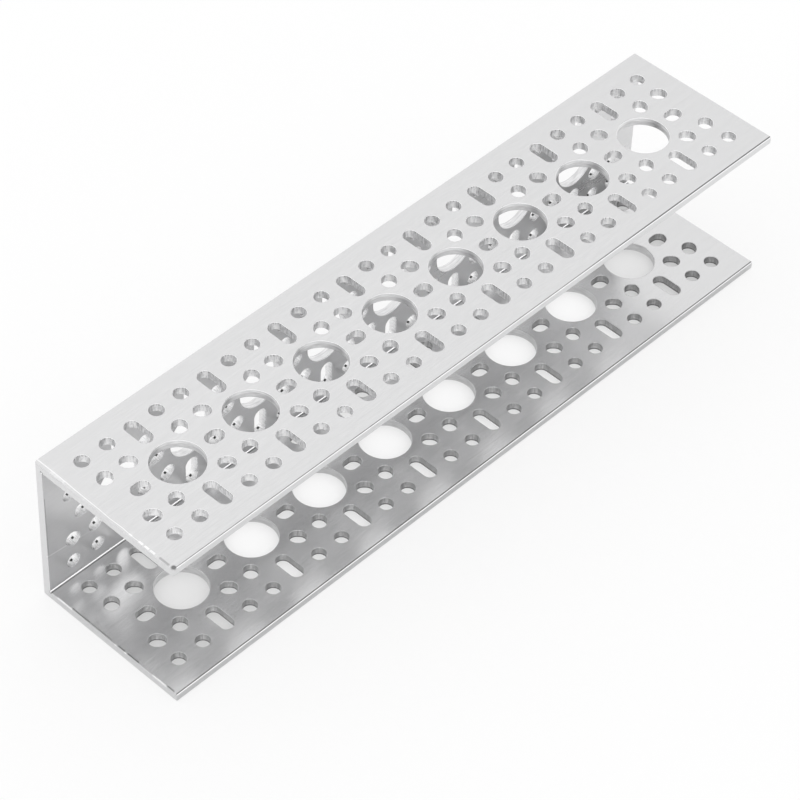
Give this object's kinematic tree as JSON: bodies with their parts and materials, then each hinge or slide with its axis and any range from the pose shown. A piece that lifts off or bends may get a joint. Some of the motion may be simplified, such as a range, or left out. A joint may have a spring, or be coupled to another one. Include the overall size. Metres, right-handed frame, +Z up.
{
  "type": "perforated u-channel",
  "caption": "Perforated aluminium U-channel with large bores and small screw holes and slots repeated along the web and both flanges.",
  "frame": {"origin": "on the floor, under the middle of the channel", "axes": "+X along the length, +Z up, +Y towards the web's outer face; the open side faces -Y"},
  "size_m": [0.216, 0.048, 0.048],
  "materials": {
    "brushed_aluminium": "satin, with a fine grain brushed along the length"
  },
  "bodies": {
    "root": {"u_channel": "brushed_aluminium"}
  },
  "joints": []
}
